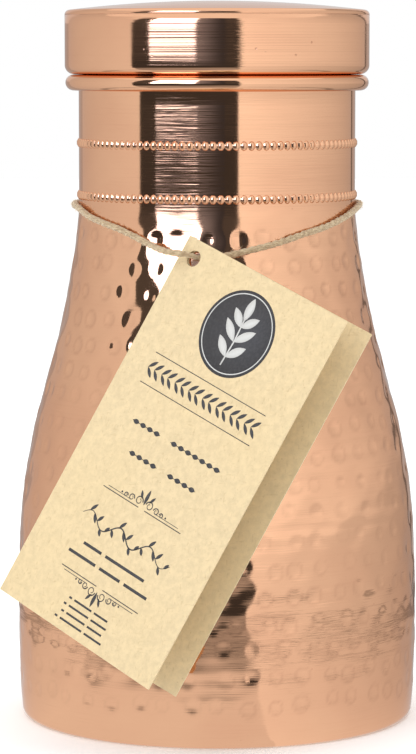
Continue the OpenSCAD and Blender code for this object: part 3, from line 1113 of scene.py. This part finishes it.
def leaf_grid(hole_r):
    """Rectangle with a round hole: a grid with a square block left out at the hole, and quads from the
    block's edge to the circle, each of whose points lies on the same ray as a point of the edge."""
    block = 8

    def ticks(start, block_end, end, steps):
        """Lines across the block, and then as many as steps across the rest of the card."""
        rest = np.linspace(block_end, end, steps + 1)[1:]
        return np.concatenate([np.linspace(start, block_end, block + 1), rest])

    x = ticks(LEAF_LEFT, -LEAF_LEFT, LEAF_RIGHT, 28)
    y = ticks(LEAF_TOP, LEAF_LEFT, LEAF_FOOT, 48)
    points = stacked(x, y[:, None], 0).reshape(-1, 3)
    faces = grid_faces(len(y), len(x))
    row, column = np.divmod(np.arange(len(faces)), len(x) - 1)
    faces = faces[~((row < block) & (column < block))][:, ::-1]
    n, wide = np.arange(block), len(x)
    edge = np.concatenate([n, block + n * wide, block * wide + block - n, (block - n) * wide])
    start = len(points)
    ray = unit(points[edge])
    middle = 0.5 * (points[edge] + ray * hole_r)
    ring = start + np.arange(len(edge))
    inner = ring + len(edge)
    between = [
        stacked(outer, nearer, np.roll(nearer, -1), np.roll(outer, -1))
        for outer, nearer in ((edge, ring), (ring, inner))
    ]
    return np.vstack([points, middle, ray * hole_r]), np.vstack([faces, *between])


def thicken(piece, thickness, offset=0.0):
    """Gives a surface its thickness, with closed edges."""
    solid = piece.modifiers.new("thickness", "SOLIDIFY")
    solid.thickness = thickness
    solid.offset = offset
    solid.use_rim = True
    return piece


class BOTTLE_OT_tag(bpy.types.Operator):
    """Adds the two leaves of the folded card and the fold between them"""

    bl_idname = "copper_bottle.tag"
    bl_label = "Card Tag"

    def execute(self, context):
        settings = context.scene.bottle_tag
        thickness = settings.thickness / MM
        stock = kraft(tuple(settings.card), tuple(settings.fleck))
        points, faces = leaf_grid(settings.hole / MM)
        points = bowed(points, settings.bow / MM)
        for name, body, node, place in (
            ("tag_leaf_back", "tag_back", "tag_back_leaf", on_back_leaf(points)),
            ("tag_leaf_front", "tag_front", "tag_front_leaf", on_front_leaf(points, thickness)),
        ):
            leaf = add_piece(name, place, faces, body, [node], "card", [stock])
            leaf.data.polygons.foreach_set("use_smooth", [False] * len(faces))
            thicken(leaf, settings.thickness)
        fold, fold_faces = self.fold(thickness)
        add_piece("tag_fold", on_back_leaf(fold), fold_faces, "tag_back", [], "card", [stock])
        return {"FINISHED"}

    @staticmethod
    def fold(thickness):
        """The creased edge: half a tube about the fold, from the back leaf's back to the front leaf's
        front."""
        outer = thickness + FIT / 2 - 0.01
        centre = (LEAF_LEFT + 0.02, thickness / 2 + FIT / 2)
        section = np.vstack([arc(centre, outer, 262, 90, 8), arc(centre, 0.06, 90, 262, 3)])
        y = np.linspace(LEAF_TOP - 0.05, LEAF_FOOT + 0.05, 30)
        points = stacked(section[:, 0], y[:, None], section[:, 1]).reshape(-1, 3)
        return capped(points, grid_faces(len(y), len(section), False, True)[:, ::-1], len(section))


# The print is plain ink: a sprig in a disc, a row of leaves, chains and bars in place of words, a vine and
# ruled ornaments. Its shapes are flat, in millimetres from the hole's middle.


def ink_petal(x, y, angle, length, width):
    """Leaf shape that starts at x, y: its half width at w, from 0 to 1 along it, is half the width times
    sin(pi w) to the power 0.8."""
    w = np.linspace(0, 1, 9)[:, None]
    half = width / 2 * np.clip(np.sin(np.pi * w), 0.02, 1) ** 0.8
    flat = stacked(length * w, half * [-1, 1]).reshape(-1, 2)
    a = math.radians(angle)
    turn = np.array([[math.cos(a), math.sin(a)], [-math.sin(a), math.cos(a)]])
    return flat @ turn + [x, y], grid_faces(len(w), 2)


def ink_line(points, width):
    """Stroke: a line's points moved half the width to both sides, across its direction."""
    p = np.asarray(points, float)
    ahead = headings(p)
    side = stacked(-ahead[:, 1], ahead[:, 0]) * np.broadcast_to(width, len(p))[:, None] / 2
    return np.stack([p - side, p + side], axis=1).reshape(-1, 2), grid_faces(len(p), 2)


def ink_disc(x, y, radius, steps=64, hollow=0.0):
    """Disc, or a ring where hollow is the inner radius."""
    a = np.arange(steps) * TURN / steps
    rim = stacked(np.cos(a), np.sin(a))
    inner = max(hollow, 0.01 * radius)
    rings = [rim * inner + [x, y], rim * radius + [x, y]]
    faces = grid_faces(2, steps, False, True)[:, ::-1].tolist()
    if not hollow:
        faces.append(list(range(steps)))
    return np.vstack(rings), faces


def ink_rule(x, y, width, thickness):
    """Straight stroke centred on x, with enough points to follow the card's bow."""
    across = np.linspace(x - width / 2, x + width / 2, max(3, int(width / 1.5)))
    return ink_line(stacked(across, y), thickness)


def ink_words(x, y, widths, height, gap):
    """Row of plain bars in place of words, centred on x."""
    left = x - (sum(widths) + gap * (len(widths) - 1)) / 2
    starts = left + np.cumsum([0] + [width + gap for width in widths[:-1]])
    return [ink_rule(start + width / 2, y, width, height) for start, width in zip(starts, widths)]


def ink_chain(x, y, counts, size):
    """Strings of leaf-shaped beads side by side in place of words, one for each count, centred on x."""
    gap = 1.5 * size
    left = x - (sum(counts) * size + gap * (len(counts) - 1)) / 2
    shapes = []
    for count in counts:
        shapes.append(ink_rule(left + count * size / 2, y, count * size, 0.16))
        shapes += [ink_petal(left + size * (n + 0.08), y, 0, 0.84 * size, 0.5 * size) for n in range(count)]
        left += count * size + gap
    return shapes


def ink_curl(x, y, size, side, up):
    """Scroll: a spiral whose radius shrinks evenly to a third over one and a quarter turns."""
    a = np.linspace(0, 1.25 * TURN, 26)
    r = size * (1 - 0.66 * a / a[-1])
    points = stacked(x + side * (size - r * np.cos(a)), y + up * r * np.sin(a))
    return ink_line(points, np.linspace(0.34, 0.16, len(points)))


def ink_ornament(x, y, width, up):
    """Ruled line with scrolls and dots at its middle."""
    shapes = []
    for side in (-1, 1):
        shapes.append(ink_rule(x + side * width * 0.27, y, width * 0.46, 0.24))
        shapes.append(ink_rule(x + side * width * 0.30, y + up * 0.8, width * 0.30, 0.16))
        for out, above, size in ((0.6, 1.7, 1.35), (3.7, 1.4, 1.0), (6.1, 1.2, 0.7)):
            shapes.append(ink_curl(x + side * out, y + up * above, size, side, up))
        shapes.append(ink_petal(x + side * 1.4, y + up * 2.4, 90 * up - up * side * 30, 2.4, 0.8))
        shapes.append(ink_disc(x + side * 8.4, y + up * 1.3, 0.28, 12))
    return shapes + [ink_petal(x, y + up * 1.2, 90 * up, 4.4, 1.1)]


def ink_vine(x, y, width, height):
    """Vine: a stem that is a sine of three waves and thins to its ends, with slender leaves on
    alternate sides."""
    w = np.linspace(0, 1, 90)
    stem = stacked(x + width * (w - 0.5), y + height / 2 * np.sin(3 * TURN * w))
    shapes = [ink_line(stem, 0.16 + 0.22 * np.sin(np.pi * w))]
    for n in range(1, 18):
        side = 1 if n % 2 else -1
        left, low = stem[5 * n]
        shapes.append(ink_petal(left, low, side * 55, 2.5 + 0.5 * math.sin(n), 0.95))
    return shapes


class BOTTLE_OT_print(bpy.types.Operator):
    """Adds the print on the tag's front leaf"""

    bl_idname = "copper_bottle.tag_print"
    bl_label = "Tag Print"

    def execute(self, context):
        settings = context.scene.bottle_tag
        middle = (LEAF_LEFT + LEAF_RIGHT) / 2
        # Heights are measured from the hole's middle, and are negative down the card
        dark = [ink_disc(middle, -11.8, 12.0)]
        for place in np.linspace(-18.5, 18.5, 8):
            for shift, angle in ((-2.4, 45), (0, -45), (-2.4, -45), (0, 45)):
                dark.append(ink_petal(middle + place + shift, -31, angle, 3.4, 1.0))
        dark += [ink_rule(middle, y, 42, 0.22) for y in (-26.6, -35.4)]
        dark += ink_chain(middle, -45.2, (4, 7), 2.7)
        dark += ink_chain(middle, -53.0, (4, 4), 2.7)
        dark += ink_ornament(middle, -64.3, 30, 1)
        dark += ink_vine(middle, -73.2, 34, 3.4)
        dark += ink_words(middle, -80.0, [7.0, 15.0], 0.8, 1.6)
        dark += ink_words(middle, -83.6, [10.5, 8.0, 8.8], 0.8, 1.6)
        dark += ink_ornament(middle, -88.0, 30, -1)
        for y, width in zip((-94.3, -96.3, -98.3, -100.3), (15, 17, 16, 19)):
            dark += ink_words(middle, y, [1.0, width * 0.45, width * 0.35], 0.55, 1.0)
        pale = [ink_line([(middle, -21.0), (middle + 0.4, -14.0), (middle, -7.0)], 0.45)]
        pale += [ink_petal(middle, -8.0, 90, 6.6, 2.7)]
        for y, length in ((-18.5, 6.6), (-14.0, 7.2), (-9.8, 6.0)):
            pale += [ink_petal(middle + 0.1, y, 90 + side * 48, length, 2.5) for side in (-1, 1)]
        pale += [ink_disc(middle, -11.8, 11.2, 64, 10.9)]
        ink = print_ink("print_dark", tuple(settings.ink))
        silver = print_ink("print_pale", (0.62, 0.62, 0.60))
        self.printed("tag_print_dark", dark, 0.012, ink, settings)
        self.printed("tag_print_pale", pale, 0.034, silver, settings)
        return {"FINISHED"}

    @staticmethod
    def printed(name, shapes, lift, ink, settings):
        """Lays flat shapes on the front leaf's face, lift above it, all facing out of the card."""
        flat, faces = joined(*shapes)
        thickness = settings.thickness / MM
        surface = stacked(flat[:, 0], flat[:, 1], 0)
        surface = bowed(surface, settings.bow / MM) + [0, 0, thickness / 2 + lift]
        piece = add_piece(name, on_front_leaf(surface, thickness), faces, "tag_front", [], None, [ink])
        whole = bmesh.new()
        whole.from_mesh(piece.data)
        below, above = on_front_leaf(np.array([[0, 0, 0], [0, 0, 1]]), thickness)
        wrong = [face for face in whole.faces if np.dot(face.normal, above - below) < 0]
        bmesh.ops.reverse_faces(whole, faces=wrong)
        whole.to_mesh(piece.data)
        whole.free()
        thicken(piece, 0.015 * MM, 1.0)


# ---------------------------------------------------------------- stage


# How far the camera stands to the right of the bottle's axis, and the top of the light cards, in metres
CAMERA_SIDE = -0.00252
CARD_TOP = 1.6


def add_surface(name, points, faces, material):
    """Adds a surface of the stage, from points in metres."""
    mesh = bpy.data.meshes.new(name)
    mesh.from_pydata(points, [], faces)
    mesh.materials.append(material)
    surface = bpy.data.objects.new(name, mesh)
    bpy.context.scene.collection.objects.link(surface)
    return surface


def level_square(name, size, z, material):
    """Adds a square about the bottle's axis, size to each side of it."""
    corners = [(-size, -size, z), (size, -size, z), (size, size, z), (-size, size, z)]
    return add_surface(name, corners, [(0, 1, 2, 3)], material)


def light_card(name, start, end, low, material, radius):
    """Adds part of a cylinder about the bottle, between two angles from the front, and from the height low
    to the top that all the cards share."""
    a = np.radians(np.linspace(start, end, 120))
    z = np.array([[low], [CARD_TOP]])
    points = stacked(radius * np.sin(a), -radius * np.cos(a), z).reshape(-1, 3)
    return add_surface(name, points.tolist(), grid_faces(2, len(a)).tolist(), material)


def only_mirrored(surface):
    """Leaves a stage surface to be seen in the copper and nowhere else."""
    surface.visible_camera = False
    surface.visible_diffuse = False
    surface.visible_shadow = False


def add_camera(settings):
    """Adds the camera in front of the bottle, a little to its left, looking along +Y and a little down."""
    data = bpy.data.cameras.new("camera")
    data.sensor_width = 36
    data.lens = settings.lens
    data.clip_start = 0.01
    data.clip_end = 50
    camera = bpy.data.objects.new("camera", data)
    camera.location = (CAMERA_SIDE, -settings.distance, settings.height)
    camera.rotation_euler = (math.pi / 2 - settings.tilt, 0, 0)
    bpy.context.scene.collection.objects.link(camera)
    bpy.context.scene.camera = camera


class BOTTLE_OT_stage(bpy.types.Operator):
    """Adds the camera, the pale table, the light cards and the soft lights"""

    bl_idname = "copper_bottle.stage"
    bl_label = "Stage"

    def execute(self, context):
        settings = context.scene.bottle_stage
        add_camera(settings)
        context.scene.view_settings.view_transform = "Standard"
        world = bpy.data.worlds.new("white_studio")
        world.use_nodes = True
        background = world.node_tree.nodes["Background"].inputs
        background["Color"].default_value = (1, 1, 1, 1)
        background["Strength"].default_value = settings.sky
        context.scene.world = world
        # The copper doesn't mirror the table, but a bright floor that lies just under it
        level_square("table", 4, 0, table_top()).visible_glossy = False
        soft_light = glow("soft_box", soft_box_light, (0.86, 0.95, 1.2))
        for surface in (
            level_square("mirrored_floor", 1.6, -0.0005, glow("bright_floor", floor_light)),
            light_card("walls", -180, 180, -0.1, glow("screens", wall_light), 1.5),
            light_card("soft_box", -51, 6, 0.1, soft_light, 1.46),
        ):
            only_mirrored(surface)
        self.lamp("key_light", (-1.1, -1.2, 1.5), 0.9, settings.key)
        self.lamp("top_light", (0.2, 0.3, 1.9), 1.6, 0.8 * settings.key)
        return {"FINISHED"}

    @staticmethod
    def lamp(name, place, size, power):
        """Square area light that points at the middle of the bottle and isn't seen in the copper."""
        data = bpy.data.lights.new(name, "AREA")
        data.energy = power
        data.size = size
        lamp = bpy.data.objects.new(name, data)
        lamp.location = place
        aim = Vector((0, 0, 0.1)) - lamp.location
        lamp.rotation_euler = aim.to_track_quat("-Z", "Y").to_euler()
        lamp.visible_glossy = False
        lamp.visible_camera = False
        bpy.context.scene.collection.objects.link(lamp)


# ---------------------------------------------------------------- add-on


STEPS = (
    BOTTLE_OT_stage,
    BOTTLE_OT_twine,
    BOTTLE_OT_body,
    BOTTLE_OT_base,
    BOTTLE_OT_wire,
    BOTTLE_OT_beads,
    BOTTLE_OT_lid_top,
    BOTTLE_OT_lid_wall,
    BOTTLE_OT_lid_plug,
    BOTTLE_OT_lid_floor,
    BOTTLE_OT_seal,
    BOTTLE_OT_tag,
    BOTTLE_OT_print,
)


class BOTTLE_PT_panel(bpy.types.Panel):
    """Lists the bottle's settings and the steps that build it"""

    bl_idname = "BOTTLE_PT_panel"
    bl_label = "Copper Bottle"
    bl_space_type = "VIEW_3D"
    bl_region_type = "UI"
    bl_category = "Copper Bottle"

    def draw(self, context):
        for step in STEPS:
            self.layout.operator(step.bl_idname)
        for name, group in SETTINGS.items():
            box = self.layout.box()
            for field in group.__annotations__:
                box.prop(getattr(context.scene, name), field)


def register():
    for made in (*SETTINGS.values(), *STEPS, BOTTLE_PT_panel):
        bpy.utils.register_class(made)
    for name, group in SETTINGS.items():
        setattr(bpy.types.Scene, name, PointerProperty(type=group))


def unregister():
    for name in SETTINGS:
        delattr(bpy.types.Scene, name)
    for made in (BOTTLE_PT_panel, *reversed(STEPS), *SETTINGS.values()):
        bpy.utils.unregister_class(made)


def main():
    register()
    for step in STEPS:
        group, name = step.bl_idname.split(".")
        getattr(getattr(bpy.ops, group), name)()


if __name__ == "__main__":
    main()
